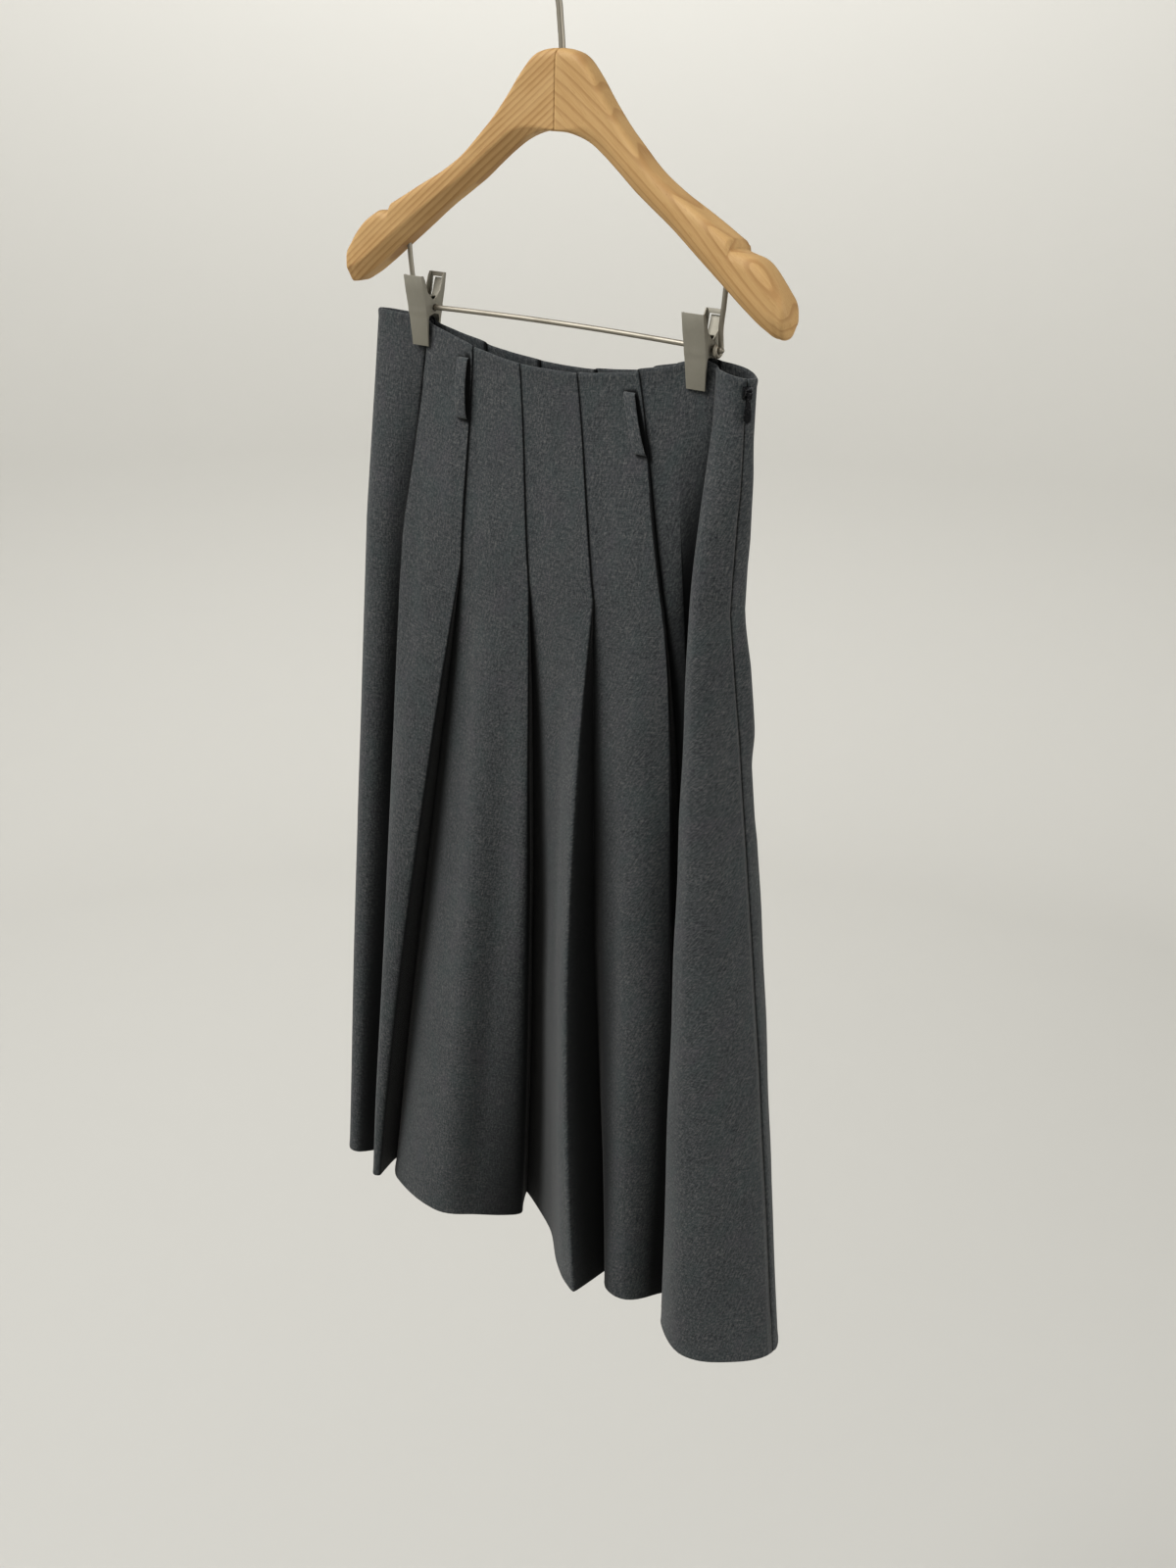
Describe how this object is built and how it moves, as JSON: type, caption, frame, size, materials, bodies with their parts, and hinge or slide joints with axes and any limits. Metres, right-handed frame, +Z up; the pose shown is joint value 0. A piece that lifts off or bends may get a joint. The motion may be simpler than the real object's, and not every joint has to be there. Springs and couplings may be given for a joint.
{
  "type": "pleated midi skirt on a clip hanger",
  "caption": "Charcoal pleated midi skirt, pleats stitched down to the hip, with belt loops and a side zip, hung by two clips from a wooden hanger.",
  "frame": {"origin": "inner top of the hook, where the rail carries it", "axes": "+Z up, +X to the viewer's right facing the front, -Y the front"},
  "size_m": [0.4696, 0.1447, 1.0705],
  "materials": {
    "suiting_cloth": "matt brushed wool-look suiting, charcoal melange",
    "zip_tape_cloth": "woven tape, near black",
    "zip_enamel": "dark enamel, half gloss",
    "pale_wood": "pale wood under a thin satin lacquer",
    "satin_nickel": "satin nickel plate"
  },
  "bodies": {
    "skirt_on_hanger": {"skirt_front": "suiting_cloth", "skirt_back": "suiting_cloth", "belt_loop_front_left": "suiting_cloth", "belt_loop_front_right": "suiting_cloth", "belt_loop_back_left": "suiting_cloth", "belt_loop_back_right": "suiting_cloth", "zip_tape": "zip_tape_cloth", "zip_slider": "zip_enamel", "hanger_arm_left": "pale_wood", "hanger_arm_right": "pale_wood", "hanger_hook": "satin_nickel", "bar_wire_left": "satin_nickel", "bar_wire_right": "satin_nickel", "clip_bar": "satin_nickel", "clip_left_front": "satin_nickel", "clip_left_back": "satin_nickel", "clip_left_spring": "satin_nickel", "clip_right_front": "satin_nickel", "clip_right_back": "satin_nickel", "clip_right_spring": "satin_nickel"},
    "zip_pull": {"zip_pull": "zip_enamel"}
  },
  "joints": [
    {"name": "zip_pull_hinge", "type": "hinge", "parent": "skirt_on_hanger", "child": "zip_pull", "pos_m": [0.16716, -0.01009, -0.2985], "axis": [-0.6479, -0.7617, 0], "range_deg": [0, 150]}
  ]
}
